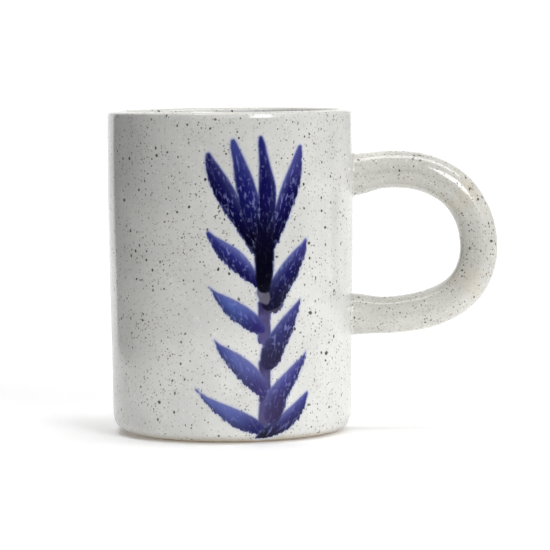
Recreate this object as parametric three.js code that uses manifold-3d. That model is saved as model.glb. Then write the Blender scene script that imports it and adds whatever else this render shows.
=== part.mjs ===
// Stoneware mug with a coil handle and a hand-painted blue sprig.
//
// Millimetres, +Z up. The origin is on the cup's own axis, in the plane that the
// foot ring stands on. The painted front faces -Y and the handle points to +X.
//
// The mug is a fired assembly: a clay cup, a clay coil handle luted on with slip
// at two places, four coats of glaze and one layer of brushed cobalt pigment.
import * as THREE from 'three';
import { mergeVertices } from 'three/addons/utils/BufferGeometryUtils.js';
import Module from 'manifold-3d';

// ---------------------------------------------------------------- dimensions
const HEIGHT = 103.0;            // foot to rim
const SEGMENTS = 48;             // facets round the axis of every turned piece

// Outside of the glazed wall: [height, radius]. A slight belly above the middle.
const WALL = [[6.05, 38.40], [25, 38.64], [50, 39.05], [76, 39.38], [92, 39.32], [101.15, 39.20]];
const HEEL_R = 6.05;             // rounded corner between wall and foot
const LIP_R = 1.85;              // rounded lip
const LIP_Z = HEIGHT - LIP_R;
const LIP_AT = 39.20 - LIP_R;    // radius of the lip's centre line

// Inside of the glazed liner: [height, radius].
const LINER = [[13.2, 34.70], [40, 35.05], [75, 35.35], [101.15, 35.50]];
const LINER_FILLET = 8.0;        // between inside wall and floor
const FLOOR_Z = 5.2;             // inside floor

const GLAZE = 0.40;              // fired glaze coat
const BOND = 0.05;               // gap kept between a coat and what it lies on
const GLAZE_STOP = 58;           // degrees round the heel where the outside glaze stops

const FOOT_R_OUT = 32.2;         // unglazed foot ring
const FOOT_R_IN = 28.9;
const RECESS_Z = 1.1;            // clay ceiling of the recess inside the foot ring
const BASE_GLAZE_Z = 0.7;        // face of the glazed disc in the recess

// Handle centre line in the XZ plane, from the upper root round to the lower root.
const HANDLE_LINE = [
  [40.9, 82.0], [43.4, 82.5], [47.5, 83.2], [53.0, 83.5], [59.5, 82.9], [66.5, 80.6], [72.6, 76.3],
  [77.0, 69.9], [79.2, 62.6], [79.3, 55.0], [76.8, 47.8], [71.6, 42.3], [64.6, 38.9],
  [57.0, 37.2], [49.5, 36.6], [43.4, 36.85], [40.9, 37.0],
];
const HANDLE_A = 6.0;            // half thickness in the plane of the handle
const HANDLE_B = 6.3;            // half thickness across it
const HANDLE_FLARE = 0.10;       // the coil thickens by this share at its roots
const FLARE_LENGTH = 9;
const HANDLE_STEPS = 36;
const HANDLE_SIDES = 12;
const HANDLE_GLAZE = 0.40;

const WELD_R = 7.7;              // slip collar at each root
const GAP = 0.3;                 // between a cut piece and the piece that cuts it

const PAINT = 0.12;              // raised thickness of the pigment
const PAINT_GAP = 0.10;          // to the glaze below it
const PAINT_EDGE = 4.8;          // longest facet edge, so that it follows the wall
const PAINT_HEEL_EDGE = 1.8;     // the same where it turns under the heel

// Brush strokes on the unrolled wall: start, bend, end as [across, up], and half widths
// as [position along the stroke, half width].
const PETAL = [[0, 2.6], [0.35, 2.9], [0.7, 4.6], [0.88, 3.4], [1, 0.5]];
const LEAF = [[0, 1.0], [0.3, 3.3], [0.6, 3.4], [0.85, 1.9], [1, 0.35]];
const STROKES = [
  { a: [8.6, 59.0], m: [3.4, 73.0], b: [-6.6, 90.2], w: PETAL },
  { a: [9.4, 59.0], m: [6.0, 77.0], b: [1.6, 94.6], w: PETAL },
  { a: [10.2, 59.0], m: [10.6, 77.0], b: [9.4, 95.6], w: PETAL },
  { a: [11.2, 59.0], m: [15.4, 74.0], b: [22.8, 92.2], w: PETAL },
  { a: [9.9, 62.0], m: [9.6, 54.0], b: [9.8, 44.0], w: [[0, 3.2], [0.3, 2.9], [0.7, 2.0], [1, 1.6]] },
  { a: [10.2, 48.0], m: [10.6, 25.0], b: [10.0, 4.8], w: [[0, 1.6], [0.5, 1.8], [1, 1.5]] },
  { a: [9.4, 48.2], m: [1.4, 56.6], b: [-7.2, 66.0], w: LEAF },
  { a: [11.6, 39.4], m: [18.4, 50.6], b: [25.4, 63.6], w: LEAF },
  { a: [9.6, 33.8], m: [1.4, 40.6], b: [-7.0, 49.2], w: LEAF },
  { a: [10.8, 21.6], m: [16.6, 32.0], b: [22.6, 44.6], w: LEAF },
  { a: [9.8, 15.2], m: [2.0, 23.6], b: [-5.4, 32.6], w: LEAF },
  { a: [11.0, 8.4], m: [17.0, 16.8], b: [24.6, 28.2], w: LEAF },
  { a: [9.8, 5.6], m: [0.0, 9.4], b: [-11.2, 17.0], w: LEAF },
  { a: [9.4, 5.6], m: [17.8, 8.0], b: [25.0, 15.4], w: LEAF },
];

const COLORS = {
  clay: 0xcdbfa6,
  glaze: 0xdfdeda,
  cobalt: 0x27386f,
};

// ---------------------------------------------------------------- helpers
const wasm = await Module();
wasm.setup();

// Smooth curve through [position, value] pairs.
function along(table, t) {
  const n = table.length;
  if (t <= table[0][0]) return table[0][1];
  if (t >= table[n - 1][0]) return table[n - 1][1];
  let i = 0;
  while (t > table[i + 1][0]) i += 1;
  const slope = (j) => {
    const a = table[Math.max(j - 1, 0)];
    const b = table[Math.min(j + 1, n - 1)];
    return (b[1] - a[1]) / (b[0] - a[0]);
  };
  const h = table[i + 1][0] - table[i][0];
  const u = (t - table[i][0]) / h;
  const u2 = u * u;
  const u3 = u2 * u;
  return (2 * u3 - 3 * u2 + 1) * table[i][1] + (u3 - 2 * u2 + u) * h * slope(i)
    + (3 * u2 - 2 * u3) * table[i + 1][1] + (u3 - u2) * h * slope(i + 1);
}

// Only positions, shared vertices merged, faces pointing out.
function tidy(geometry) {
  const g = geometry.clone();
  g.deleteAttribute('normal');
  g.deleteAttribute('uv');
  const merged = mergeVertices(g, 1e-4);
  const index = [];
  const src = merged.index.array;
  for (let i = 0; i < src.length; i += 3) {
    const [a, b, c] = [src[i], src[i + 1], src[i + 2]];
    if (a !== b && b !== c && c !== a) index.push(a, b, c);
  }
  const p = merged.attributes.position;
  let volume = 0;
  const [A, B, C] = [new THREE.Vector3(), new THREE.Vector3(), new THREE.Vector3()];
  for (let i = 0; i < index.length; i += 3) {
    A.fromBufferAttribute(p, index[i]);
    B.fromBufferAttribute(p, index[i + 1]);
    C.fromBufferAttribute(p, index[i + 2]);
    volume += A.dot(B.clone().cross(C));
  }
  if (volume < 0) {
    for (let i = 0; i < index.length; i += 3) [index[i + 1], index[i + 2]] = [index[i + 2], index[i + 1]];
  }
  merged.setIndex(index);
  return merged;
}

// A turned solid: the profile is [radius, height] about +Z.
function turned(profile, segments = SEGMENTS) {
  const g = new THREE.LatheGeometry(profile.map(([r, z]) => new THREE.Vector2(Math.max(r, 0), z)), segments);
  g.rotateX(Math.PI / 2);
  return tidy(g);
}

function toSolid(geometry) {
  const g = tidy(geometry);
  return new wasm.Manifold(new wasm.Mesh({
    numProp: 3,
    vertProperties: new Float32Array(g.attributes.position.array),
    triVerts: new Uint32Array(g.index.array),
  }));
}

function toGeometry(solid) {
  const m = solid.getMesh();
  const g = new THREE.BufferGeometry();
  const flat = new Float32Array(m.numVert * 3);
  for (let i = 0; i < m.numVert; i += 1) {
    for (let k = 0; k < 3; k += 1) flat[3 * i + k] = m.vertProperties[i * m.numProp + k];
  }
  g.setAttribute('position', new THREE.BufferAttribute(flat, 3));
  g.setIndex(Array.from(m.triVerts));
  return g;
}

// ---------------------------------------------------------------- cup profiles
const rad = THREE.MathUtils.degToRad;
const HEEL_AT = WALL[0][1] - HEEL_R;

// Outside of the mug, moved inwards by d: heel, wall, then the outer half of the lip.
function outside(d, crest = 90) {
  const pts = [];
  for (let k = 0; k <= 3; k += 1) {
    const a = rad(GLAZE_STOP * (1 - k / 3));
    pts.push([HEEL_AT + (HEEL_R - d) * Math.cos(a), HEEL_R - (HEEL_R - d) * Math.sin(a)]);
  }
  for (const z of [25, 50, 76, 92, LIP_Z]) pts.push([along(WALL, z) - d, z]);
  for (const a of [45, crest]) pts.push([LIP_AT + (LIP_R - d) * Math.cos(rad(a)), LIP_Z + (LIP_R - d) * Math.sin(rad(a))]);
  return pts;
}

// Inside of the mug, moved into the clay by d: inner half of the lip, wall, fillet, floor.
function inside(d, crest = 90) {
  const pts = [];
  for (const a of [crest, 135, 180]) pts.push([LIP_AT + (LIP_R - d) * Math.cos(rad(a)), LIP_Z + (LIP_R - d) * Math.sin(rad(a))]);
  for (const z of [75, 40]) pts.push([along(LINER, z) + d, z]);
  for (let k = 0; k <= 4; k += 1) {
    const a = rad(90 * k / 4);
    pts.push([LINER[0][1] - LINER_FILLET + (LINER_FILLET + d) * Math.cos(a), FLOOR_Z + LINER_FILLET - (LINER_FILLET + d) * Math.sin(a)]);
  }
  pts.push([0, FLOOR_Z - d]);
  return pts;
}

const under = GLAZE + BOND;

// Bare clay cup: recess, foot ring, heel, wall, lip, then down the inside to the floor.
const cupProfile = [
  [0, RECESS_Z], [FOOT_R_IN - 0.7, RECESS_Z], [FOOT_R_IN, 0], [FOOT_R_OUT, 0],
  ...outside(under), ...inside(under).slice(1),
];

const wallGlazeProfile = [...outside(GLAZE, 88), ...outside(0, 88).reverse()];
wallGlazeProfile.push(wallGlazeProfile[0]);

const linerGlazeProfile = [...inside(GLAZE, 92).reverse(), ...inside(0, 92)];

const baseGlazeProfile = [
  [0, BASE_GLAZE_Z], [FOOT_R_IN - 0.75, BASE_GLAZE_Z],
  [FOOT_R_IN - 1.0, RECESS_Z - BOND], [0, RECESS_Z - BOND],
];

// ---------------------------------------------------------------- handle
const handlePath = new THREE.CatmullRomCurve3(
  HANDLE_LINE.map(([x, z]) => new THREE.Vector3(x, 0, z)), false, 'centripetal',
);

// Height of the centre line at distance x from the cup's axis, near a root.
function rootHeight(x, upper) {
  const table = upper ? HANDLE_LINE.slice(0, 5) : HANDLE_LINE.slice(-5).reverse();
  return along(table, x);
}

// The coil's section shrunk by d. A hollow one is the sleeve of glaze round the coil.
function coil(d, hollow) {
  const ellipse = (inset) => {
    const pts = [];
    for (let k = 0; k < HANDLE_SIDES; k += 1) {
      const a = 2 * Math.PI * k / HANDLE_SIDES;
      pts.push(new THREE.Vector2((HANDLE_A - inset) * Math.cos(a), (HANDLE_B - inset) * Math.sin(a)));
    }
    return pts;
  };
  const shape = new THREE.Shape(ellipse(d));
  if (hollow) shape.holes.push(new THREE.Path(ellipse(HANDLE_GLAZE)));
  const g = new THREE.ExtrudeGeometry(shape, { extrudePath: handlePath, steps: HANDLE_STEPS, bevelEnabled: false });
  const p = g.attributes.position;
  for (let i = 0; i < p.count; i += 1) {
    const x = p.getX(i);
    const reach = (x - HANDLE_LINE[0][0]) / FLARE_LENGTH;
    if (reach >= 1) continue;
    const grow = 1 + HANDLE_FLARE * (1 - Math.max(reach, 0)) ** 2;
    const mid = rootHeight(x, p.getZ(i) > HEIGHT * 0.58);
    p.setXYZ(i, x, p.getY(i) * grow, mid + (p.getZ(i) - mid) * grow);
  }
  return tidy(g);
}

// Turns a piece made about +Z to leave the wall along the coil, and puts it at that root.
function atRoot(geometry, t) {
  const at = handlePath.getPoint(t);
  const out = handlePath.getTangent(t);
  if (t > 0.5) out.negate();
  geometry.applyQuaternion(new THREE.Quaternion().setFromUnitVectors(new THREE.Vector3(0, 0, 1), out.normalize()));
  geometry.translate(at.x, at.y, at.z);
  return geometry;
}

// A slip collar between the wall and the end of the coil.
function collar(t, wallCutter) {
  const g = turned([
    [0, -4], [WELD_R, -4], [WELD_R, -1.1], [WELD_R - 0.35, -0.65], [WELD_R - 0.9, -GAP], [0, -GAP],
  ], 28);
  return toGeometry(toSolid(atRoot(g, t)).subtract(wallCutter));
}

// A round plug that clears the wall's glaze away where a collar sits.
function plug(t) {
  const g = new THREE.CylinderGeometry(WELD_R + GAP, WELD_R + GAP, 12, 28);
  g.rotateX(Math.PI / 2);
  return toSolid(atRoot(g, t));
}

// Everything inside the clay's outer surface, grown by the gap.
const clayCore = toSolid(turned([[0, 10], ...outside(under - GAP).filter(([, z]) => z > 10 && z < 96), [0, 94]]));

const wallGlaze = toGeometry(toSolid(turned(wallGlazeProfile)).subtract(plug(0)).subtract(plug(1)));

// ---------------------------------------------------------------- painted sprig
// A brush stroke's outline, swept along its bent centre line.
function strokeShape({ a, m, b, w }) {
  const mid = [2 * m[0] - (a[0] + b[0]) / 2, 2 * m[1] - (a[1] + b[1]) / 2];
  const line = new THREE.QuadraticBezierCurve(new THREE.Vector2(...a), new THREE.Vector2(...mid), new THREE.Vector2(...b));
  const n = 7;
  const left = [];
  const right = [];
  for (let k = 0; k <= n; k += 1) {
    const t = k / n;
    const c = line.getPoint(t);
    const d = line.getTangent(t);
    const half = along(w, t);
    left.push(new THREE.Vector2(c.x - d.y * half, c.y + d.x * half));
    right.push(new THREE.Vector2(c.x + d.y * half, c.y - d.x * half));
  }
  return new THREE.Shape([...right, ...left.reverse()]);
}

// Split every edge longer than its limit at its middle, the same way on both sides of it.
function refine(geometry) {
  const points = [];
  const p = geometry.attributes.position;
  for (let i = 0; i < p.count; i += 1) points.push([p.getX(i), p.getY(i), p.getZ(i)]);
  let tris = [];
  const idx = geometry.index.array;
  for (let i = 0; i < idx.length; i += 3) tris.push([idx[i], idx[i + 1], idx[i + 2]]);
  const length = (i, j) => Math.hypot(...points[i].map((v, k) => v - points[j][k]));
  for (let pass = 0; pass < 60; pass += 1) {
    // One edge a pass for each triangle, the longest in the neighbourhood first.
    const edges = new Map();
    tris.forEach((t, n) => {
      for (let k = 0; k < 3; k += 1) {
        const [i, j] = [t[k], t[(k + 1) % 3]];
        const key = i < j ? `${i}_${j}` : `${j}_${i}`;
        if (!edges.has(key)) edges.set(key, { i: Math.min(i, j), j: Math.max(i, j), len: length(i, j), on: [] });
        edges.get(key).on.push(n);
      }
    });
    const limit = (e) => (Math.min(points[e.i][1], points[e.j][1]) < HEEL_R ? PAINT_HEEL_EDGE : PAINT_EDGE);
    const long = [...edges.values()].filter((e) => e.len > limit(e)).sort((x, y) => y.len - x.len || x.i - y.i || x.j - y.j);
    if (!long.length) break;
    const used = new Set();
    const extra = [];
    for (const e of long) {
      if (e.on.some((n) => used.has(n))) continue;
      const m = points.length;
      points.push(points[e.i].map((v, k) => (v + points[e.j][k]) / 2));
      for (const n of e.on) {
        used.add(n);
        const t = tris[n];
        const k = [0, 1, 2].find((q) => (t[q] === e.i && t[(q + 1) % 3] === e.j) || (t[q] === e.j && t[(q + 1) % 3] === e.i));
        const [u, v, o] = [t[k], t[(k + 1) % 3], t[(k + 2) % 3]];
        extra.push([u, m, o], [m, v, o]);
      }
    }
    tris = tris.filter((_, n) => !used.has(n)).concat(extra);
  }
  const g = new THREE.BufferGeometry();
  g.setAttribute('position', new THREE.BufferAttribute(new Float32Array(points.flat()), 3));
  g.setIndex(tris.flat());
  return g;
}

// Flat strokes joined into one film, then rolled round the wall and over the heel.
function sprig() {
  let film = null;
  for (const stroke of STROKES) {
    const g = new THREE.ExtrudeGeometry(strokeShape(stroke), { depth: PAINT, bevelEnabled: false, steps: 1 });
    const s = toSolid(g);
    film = film ? film.add(s) : s;
  }
  const g = refine(toGeometry(film));
  const p = g.attributes.position;
  for (let i = 0; i < p.count; i += 1) {
    const across = p.getX(i);
    const up = p.getY(i);
    const lift = PAINT_GAP + p.getZ(i);
    let r = along(WALL, Math.max(up, HEEL_R));
    let z = up;
    const turn = across / r;
    if (up < HEEL_R) {
      const a = (HEEL_R - up) / HEEL_R;
      r = HEEL_AT + (HEEL_R + lift) * Math.cos(a);
      z = HEEL_R - (HEEL_R + lift) * Math.sin(a);
    } else {
      r += lift;
    }
    p.setXYZ(i, r * Math.sin(turn), -r * Math.cos(turn), z);
  }
  return tidy(g);
}

// ---------------------------------------------------------------- assembly
const mug = new THREE.Group();
mug.name = 'mug';

function piece(name, geometry, color, roughness, metalness = 0) {
  const material = new THREE.MeshStandardMaterial({ color, roughness, metalness });
  const mesh = new THREE.Mesh(geometry, material);
  mesh.name = name;
  mug.add(mesh);
  return mesh;
}

piece('cup_body', turned(cupProfile), COLORS.clay, 0.85);
piece('handle', coil(HANDLE_GLAZE + BOND, false), COLORS.clay, 0.85);
piece('upper_handle_weld', collar(0, clayCore), COLORS.glaze, 0.3);
piece('lower_handle_weld', collar(1, clayCore), COLORS.glaze, 0.3);
piece('wall_glaze', wallGlaze, COLORS.glaze, 0.25);
piece('liner_glaze', turned(linerGlazeProfile), COLORS.glaze, 0.25);
piece('handle_glaze', coil(0, true), COLORS.glaze, 0.25);
piece('base_glaze', turned(baseGlazeProfile), COLORS.glaze, 0.3);
piece('painted_sprig', sprig(), COLORS.cobalt, 0.28);

export default mug;
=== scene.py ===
import math

import bpy
import numpy as np
from mathutils import Matrix, Vector


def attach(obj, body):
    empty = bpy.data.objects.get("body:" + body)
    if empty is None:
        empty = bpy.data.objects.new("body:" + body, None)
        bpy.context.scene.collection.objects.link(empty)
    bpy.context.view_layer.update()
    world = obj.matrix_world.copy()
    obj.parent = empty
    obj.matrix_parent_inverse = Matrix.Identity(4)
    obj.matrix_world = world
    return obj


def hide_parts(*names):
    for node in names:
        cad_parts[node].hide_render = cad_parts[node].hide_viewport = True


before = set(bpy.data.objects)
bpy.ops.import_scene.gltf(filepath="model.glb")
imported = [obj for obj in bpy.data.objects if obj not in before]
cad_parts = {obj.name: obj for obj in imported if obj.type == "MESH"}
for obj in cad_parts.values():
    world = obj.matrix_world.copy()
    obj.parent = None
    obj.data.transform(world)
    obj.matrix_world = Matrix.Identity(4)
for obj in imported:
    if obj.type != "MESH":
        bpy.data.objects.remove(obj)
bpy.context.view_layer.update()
MM = 0.001

# ------------------------------------------------------------------ the mug's own dimensions, in mm
HEIGHT = 103.0
WALL = [[6.05, 38.40], [25, 38.64], [50, 39.05], [76, 39.38], [92, 39.32], [101.15, 39.20]]
HEEL_R = 6.05
HEEL_AT = 38.40 - HEEL_R
LIP_R = 1.85
LIP_Z = HEIGHT - LIP_R
LIP_AT = 39.20 - LIP_R
LINER = [[13.2, 34.70], [40, 35.05], [75, 35.35], [101.15, 35.50]]
LINER_FILLET = 8.0
FLOOR_Z = 5.2
GLAZE = 0.40
BOND = 0.05
GLAZE_STOP = 58.0
FOOT_R_OUT, FOOT_R_IN, RECESS_Z, BASE_GLAZE_Z = 32.2, 28.9, 1.1, 0.7
HANDLE_LINE = np.array([
    [40.9, 82.0], [43.4, 82.5], [47.5, 83.2], [53.0, 83.5], [59.5, 82.9], [66.5, 80.6], [72.6, 76.3],
    [77.0, 69.9], [79.2, 62.6], [79.3, 55.0], [76.8, 47.8], [71.6, 42.3], [64.6, 38.9],
    [57.0, 37.2], [49.5, 36.6], [43.4, 36.85], [40.9, 37.0]])
HANDLE_A, HANDLE_B, HANDLE_FLARE, FLARE_LENGTH = 6.0, 6.3, 0.10, 9.0


def along(table, t):
    """Smooth curve through [position, value] pairs, for an array of positions."""
    table = np.asarray(table, float)
    p, v = table[:, 0], table[:, 1]
    n = len(p)
    slope = np.array([(v[min(j + 1, n - 1)] - v[max(j - 1, 0)]) / (p[min(j + 1, n - 1)] - p[max(j - 1, 0)]) for j in range(n)])
    t = np.clip(np.asarray(t, float), p[0], p[-1])
    i = np.clip(np.searchsorted(p, t, side="right") - 1, 0, n - 2)
    h = p[i + 1] - p[i]
    u = (t - p[i]) / h
    u2, u3 = u * u, u * u * u
    return ((2 * u3 - 3 * u2 + 1) * v[i] + (u3 - 2 * u2 + u) * h * slope[i]
            + (3 * u2 - 2 * u3) * v[i + 1] + (u3 - u2) * h * slope[i + 1])


def wobble(turn, up):
    """How far the hand-finished wall stands off the ideal turned surface, in mm."""
    fade = np.clip((up - 1.0) / 6.0, 0, 1) * np.clip((103.2 - up) / 2.0, 0.35, 1)
    w = 0.055 * np.sin(2 * turn + 0.6 + 0.010 * up) + 0.030 * np.sin(3 * turn - 1.1 + 0.035 * up)
    w = w + 0.020 * np.sin(5 * turn + 0.11 * up) + 0.016 * np.sin(0.23 * up + 1.7 * np.sin(turn))
    w = w + 0.008 * np.sin(0.61 * up + 2.0 * np.sin(2 * turn + 1.0)) + 0.007 * np.sin(9 * turn - 0.19 * up)
    return w * fade


# ------------------------------------------------------------------ mesh helpers
def make(name, verts, faces, smooth=True, sharp_angle=None):
    me = bpy.data.meshes.new(name)
    me.from_pydata((np.asarray(verts, float) * MM).tolist(), [], [tuple(int(i) for i in f) for f in faces])
    me.validate()
    me.update()
    me.polygons.foreach_set("use_smooth", [smooth] * len(me.polygons))
    o = bpy.data.objects.new(name, me)
    bpy.context.scene.collection.objects.link(o)
    if sharp_angle is not None:
        me.set_sharp_from_angle(angle=math.radians(sharp_angle))
    return o


def uv_map(o, uv):
    """One UV pair for each face corner."""
    layer = o.data.uv_layers.new(name="OFBake")
    layer.data.foreach_set("uv", np.asarray(uv, np.float32).ravel())


def lathe(name, rows, segments, displace=None, uv_box=None, sharp_angle=40):
    """A closed turned solid. rows is a list of (radius, height, weight of the wobble); a radius of 0 is a pole.
    The rows run from the lower or inner end, outwards, so that faces point out; a first and last row on the axis
    close it, and otherwise the profile is a loop."""
    rows = np.asarray(rows, float)
    closed = rows[0, 0] > 1e-6
    n = len(rows)
    turn = np.arange(segments) * 2 * np.pi / segments
    verts, start = [], []
    for r, z, w in rows:
        start.append(len(verts))
        if r < 1e-6:
            verts.append((0, 0, z))
            continue
        rr = r + (w * displace(turn, np.full(segments, z)) if displace else 0)
        rr = np.broadcast_to(rr, turn.shape)
        verts.extend(zip(rr * np.sin(turn), -rr * np.cos(turn), np.full(segments, z)))
    faces, uvs = [], []
    step = np.hypot(*np.diff(rows[:, :2], axis=0).T)
    if closed:
        step = np.append(step, math.hypot(rows[0, 0] - rows[-1, 0], rows[0, 1] - rows[-1, 1]))
    arc = np.concatenate([[0], np.cumsum(step)])
    total = arc[-1]
    for k in range(n if closed else n - 1):
        j = (k + 1) % n
        va, vb = arc[k] / total, arc[k + 1] / total
        for i in range(segments):
            m = (i + 1) % segments
            ua, ub = i / segments, (i + 1) / segments
            if rows[k, 0] < 1e-6:
                faces.append((start[k], start[j] + m, start[j] + i))
                uvs += [((ua + ub) / 2, va), (ub, vb), (ua, vb)]
            elif rows[j, 0] < 1e-6:
                faces.append((start[k] + i, start[k] + m, start[j]))
                uvs += [(ua, va), (ub, va), ((ua + ub) / 2, vb)]
            else:
                faces.append((start[k] + i, start[k] + m, start[j] + m, start[j] + i))
                uvs += [(ua, va), (ub, va), (ub, vb), (ua, vb)]
    o = make(name, verts, faces, True, sharp_angle)
    uv = np.array(uvs)
    # Two halves stacked, so that the map isn't four times as wide as it is high.
    half = np.floor(uv[:, 0].reshape(-1) * 2 - 1e-9).clip(0, 1)
    loops = np.array([p.loop_total for p in o.data.polygons])
    first = np.concatenate([[0], np.cumsum(loops)[:-1]])
    centre = np.add.reduceat(uv[:, 0], first) / loops
    which = np.repeat((centre > 0.5).astype(float), loops)
    del half
    flat = np.column_stack([(uv[:, 0] - 0.5 * which) * 2 * 0.98 + 0.01, uv[:, 1] * 0.485 + 0.005 + 0.5 * which])
    uv_map(o, flat)
    return o


def arc_rows(cr, cz, r, a0, a1, n, w=1.0):
    a = np.radians(np.linspace(a0, a1, n))
    return [(cr + r * math.cos(x), cz + r * math.sin(x), w) for x in a]


# ------------------------------------------------------------------ materials
class Nodes:
    """Short hand for building a node tree."""

    def __init__(self, tree):
        self.t = tree

    def add(self, kind, **props):
        n = self.t.nodes.new(kind)
        for k, v in props.items():
            setattr(n, k, v)
        return n

    def put(self, socket, value):
        if isinstance(value, bpy.types.NodeSocket):
            self.t.links.new(value, socket)
        elif value is not None:
            socket.default_value = value

    def math(self, op, a, b=None, c=None, clamp=False):
        n = self.add("ShaderNodeMath", operation=op, use_clamp=clamp)
        for s, v in zip(n.inputs, (a, b, c)):
            self.put(s, v)
        return n.outputs[0]

    def vmath(self, op, a, b=None):
        n = self.add("ShaderNodeVectorMath", operation=op)
        self.put(n.inputs[0], a)
        if op == "SCALE":
            self.put(n.inputs["Scale"], b)
        elif b is not None:
            self.put(n.inputs[1], b)
        return n.outputs[0]

    def ramp(self, x, lo, hi, a=0.0, b=1.0):
        """Smooth step from a at lo to b at hi."""
        n = self.add("ShaderNodeMapRange", interpolation_type="SMOOTHSTEP")
        self.put(n.inputs["Value"], x)
        self.put(n.inputs["From Min"], lo)
        self.put(n.inputs["From Max"], hi)
        self.put(n.inputs["To Min"], a)
        self.put(n.inputs["To Max"], b)
        return n.outputs["Result"]

    def mix(self, f, a, b, blend="MIX"):
        n = self.add("ShaderNodeMix", data_type="RGBA", blend_type=blend)
        self.put(n.inputs["Factor"], f)
        self.put(n.inputs["A"], a) if False else None
        socks = [s for s in n.inputs if s.type == "RGBA"]
        self.put(socks[0], a)
        self.put(socks[1], b)
        return [s for s in n.outputs if s.type == "RGBA"][0]

    def noise(self, v, scale, detail=3.0, rough=0.55, lo=None, hi=None):
        n = self.add("ShaderNodeTexNoise")
        self.put(n.inputs["Vector"], v)
        self.put(n.inputs["Scale"], scale)
        self.put(n.inputs["Detail"], detail)
        self.put(n.inputs["Roughness"], rough)
        f = n.outputs["Fac"] if "Fac" in n.outputs else n.outputs[0]
        return f if lo is None else self.ramp(f, lo, hi)

    def noise_vec(self, v, scale):
        n = self.add("ShaderNodeTexNoise")
        self.put(n.inputs["Vector"], v)
        self.put(n.inputs["Scale"], scale)
        self.put(n.inputs["Detail"], 2.0)
        return n.outputs["Color"]


def rgb(r, g, b):
    return (r, g, b, 1.0)


def srgb(r, g, b):
    f = lambda v: v / 255 / 12.92 if v <= 10 else ((v / 255 + 0.055) / 1.055) ** 2.4
    return (f(r), f(g), f(b), 1.0)


def new_material(name):
    m = bpy.data.materials.new(name)
    m.use_nodes = True
    m.node_tree.nodes.clear()
    n = Nodes(m.node_tree)
    out = n.add("ShaderNodeOutputMaterial")
    bsdf = n.add("ShaderNodeBsdfPrincipled")
    m.node_tree.links.new(bsdf.outputs[0], out.inputs["Surface"])
    return m, n, bsdf


def specks(n, pos, cell, small, large, chance, soft, seed, squash=(1, 1, 1)):
    """Grains scattered through the glaze. cell, small, large and soft are in mm; chance is the share of cells
    that hold one. Gives (mask, a random number for each grain)."""
    p = n.vmath("ADD", pos, (seed * 0.0131, seed * 0.0077, seed * 0.0219))
    warp = n.vmath("SCALE", n.vmath("SUBTRACT", n.noise_vec(p, 900.0 / max(cell, 0.6)), (0.5, 0.5, 0.5)), 0.00055 * min(cell, 2.0))
    p = n.vmath("ADD", p, warp)
    p = n.vmath("MULTIPLY", p, squash)
    v = n.add("ShaderNodeTexVoronoi", voronoi_dimensions="3D", feature="F1")
    n.put(v.inputs["Vector"], p)
    n.put(v.inputs["Scale"], 1000.0 / cell)
    n.put(v.inputs["Randomness"], 1.0)
    sep = n.add("ShaderNodeSeparateColor")
    n.put(sep.inputs[0], v.outputs["Color"])
    pick, size, kind = sep.outputs[0], sep.outputs[1], sep.outputs[2]
    size = n.math("MULTIPLY", size, size)
    r = n.math("MULTIPLY_ADD", size, (large - small) / cell, small / cell)
    there = n.math("LESS_THAN", pick, chance)
    d = n.math("SUBTRACT", r, v.outputs["Distance"])
    mask = n.ramp(d, -soft / cell, soft / cell)
    return n.math("MULTIPLY", mask, there), kind


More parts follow.
